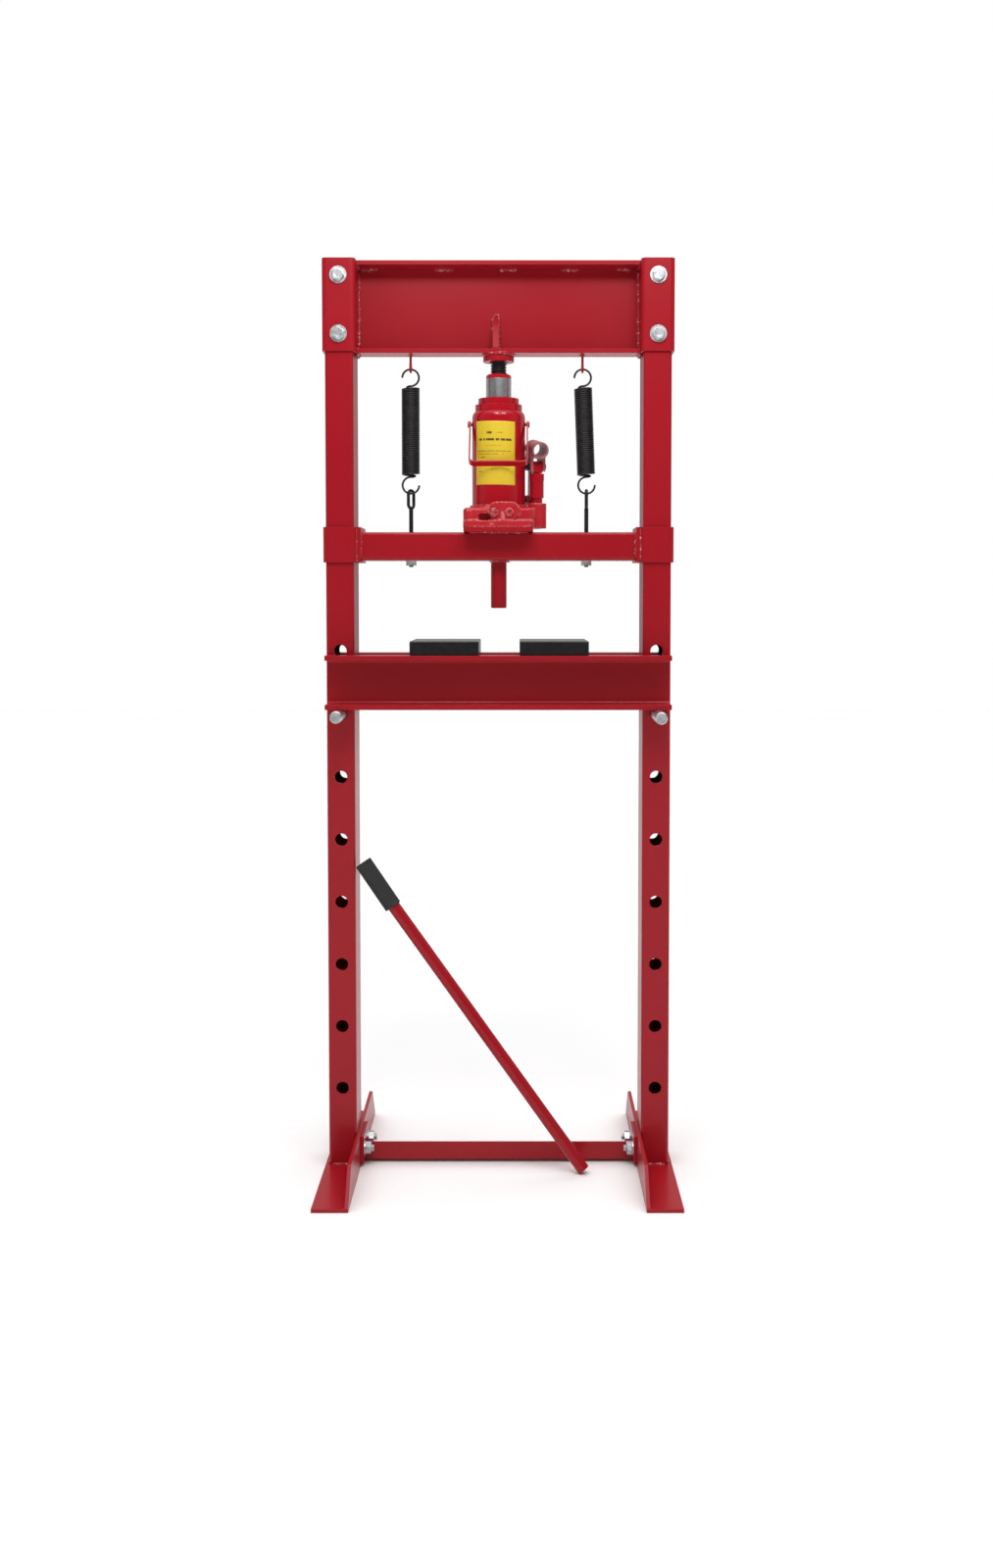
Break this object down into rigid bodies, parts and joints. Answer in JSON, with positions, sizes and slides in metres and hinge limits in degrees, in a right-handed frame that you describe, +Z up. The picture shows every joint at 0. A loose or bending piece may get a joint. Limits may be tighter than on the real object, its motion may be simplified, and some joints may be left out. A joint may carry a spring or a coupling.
{
  "type": "hydraulic shop press",
  "caption": "Floor-standing H-frame hydraulic shop press: bottle jack under a bolted head, spring-returned guided press beam with arbor, height-adjustable table, press blocks, loose pump lever.",
  "frame": {"origin": "on the floor, in the middle of the two feet", "axes": "+X to the operator's right along the beams, +Y from the front to the back, +Z up"},
  "size_m": [0.5, 0.4, 1.3],
  "materials": {
    "frame_paint": "semi-gloss red enamel",
    "jack_paint": "gloss red enamel on casting and tube",
    "zinc": "zinc plated",
    "chrome": "ground and polished",
    "machined_steel": "machined",
    "black_steel": "black oxide or black lacquer",
    "rubber": "textured black rubber",
    "label": "printed yellow vinyl"
  },
  "bodies": {
    "frame": {"column_left": "frame_paint", "column_right": "frame_paint", "head_bracket_left": "frame_paint", "head_bracket_right": "frame_paint", "head_web": "frame_paint", "head_top_plate": "frame_paint", "head_bottom_plate": "frame_paint", "head_gusset": "frame_paint", "jack_socket": "frame_paint", "spring_loops": "frame_paint", "head_bolts": "zinc", "head_washers": "zinc", "frame_nuts": "zinc", "foot_left": "frame_paint", "foot_right": "frame_paint", "foot_bolts": "zinc", "foot_washers": "zinc", "crossbar": "frame_paint", "crossbar_end_plates": "frame_paint", "ram": "chrome", "ram_collar": "jack_paint", "ram_piston": "machined_steel", "ram_seal": "rubber", "return_spring_left": "black_steel", "return_spring_right": "black_steel"},
    "extension_screw": {"extension_screw": "black_steel"},
    "press_beam": {"press_beam": "frame_paint", "guide_sleeve_left": "frame_paint", "guide_sleeve_right": "frame_paint", "beam_end_plates": "frame_paint", "jack_tray": "frame_paint", "arbor": "frame_paint", "eye_bolts": "black_steel", "eye_bolt_nuts": "zinc", "jack_base": "jack_paint", "jack_reservoir": "jack_paint", "jack_inner_cylinder": "machined_steel", "jack_cap": "jack_paint", "jack_label": "label", "filler_plug": "rubber", "valve_plug": "jack_paint", "bail_studs": "jack_paint", "pump_cylinder": "jack_paint", "link_foot_pin": "black_steel"},
    "release_valve": {"release_valve": "jack_paint"},
    "bail": {"bail": "jack_paint"},
    "pump_plunger": {"pump_plunger": "jack_paint", "plunger_pin": "black_steel"},
    "pump_link": {"pump_link": "jack_paint", "link_top_pin": "black_steel"},
    "handle_socket": {"handle_socket": "jack_paint"},
    "table": {"table_channel_front": "frame_paint", "table_channel_rear": "frame_paint", "table_spacers": "frame_paint"},
    "press_block_left": {"press_block_left": "black_steel"},
    "press_block_right": {"press_block_right": "black_steel"},
    "support_pin_left": {"support_pin_left": "zinc"},
    "support_pin_right": {"support_pin_right": "zinc"},
    "pump_lever": {"lever_tube": "frame_paint", "lever_grip": "rubber"}
  },
  "joints": [
    {"name": "press_beam_slide", "type": "slide", "parent": "frame", "child": "press_beam", "axis": [0, 0, -1], "range_m": [0, 0.095], "stiffness_N_per_m": 2500, "springref_m": -0.06, "deforming": ["return_spring_left", "return_spring_right"]},
    {"name": "extension_screw_turn", "type": "hinge", "parent": "frame", "child": "extension_screw", "pos_m": [0, 0, 1.15], "axis": [0, 0, 1], "continuous": true},
    {"name": "release_valve_turn", "type": "hinge", "parent": "press_beam", "child": "release_valve", "pos_m": [-0.0056, -0.05, 0.943], "axis": [0, -1, 0], "range_deg": [0, 270]},
    {"name": "bail_swing", "type": "hinge", "parent": "press_beam", "child": "bail", "pos_m": [0, 0, 1.071], "axis": [-1, 0, 0], "range_deg": [0, 95]},
    {"name": "handle_pump", "type": "hinge", "parent": "pump_link", "child": "handle_socket", "pos_m": [0.04976, 0.01441, 1.01335], "axis": [-0.9703, -0.2419, 0], "range_deg": [0, 40]},
    {"name": "link_sway", "type": "hinge", "parent": "press_beam", "child": "pump_link", "pos_m": [0.04928, 0.01635, 0.965], "axis": [0.9703, 0.2419, 0], "range_deg": [0, 2.2]},
    {"name": "plunger_lift", "type": "slide", "parent": "press_beam", "child": "pump_plunger", "axis": [0, 0, 1], "range_m": [0, 0.0135]},
    {"name": "table_lift", "type": "slide", "parent": "frame", "child": "table", "axis": [0, 0, -1], "range_m": [-0.09, 0]},
    {"name": "press_block_left_slide", "type": "slide", "parent": "table", "child": "press_block_left", "axis": [-1, 0, 0], "range_m": [-0.012, 0.075]},
    {"name": "press_block_right_slide", "type": "slide", "parent": "table", "child": "press_block_right", "axis": [1, 0, 0], "range_m": [-0.012, 0.072]},
    {"name": "support_pin_left_pull", "type": "slide", "parent": "frame", "child": "support_pin_left", "axis": [0, -1, 0], "range_m": [0, 0.2]},
    {"name": "support_pin_right_pull", "type": "slide", "parent": "frame", "child": "support_pin_right", "axis": [0, -1, 0], "range_m": [0, 0.2]},
    {"name": "pump_lever_lift_off", "type": "slide", "parent": "frame", "child": "pump_lever", "axis": [0, -1, 0], "range_m": [0, 0.3]}
  ],
  "couplings": [
    {"joint": "plunger_lift", "follows": "handle_pump", "m_per_rad": 0.019},
    {"joint": "link_sway", "follows": "handle_pump", "ratio": 0.05}
  ]
}
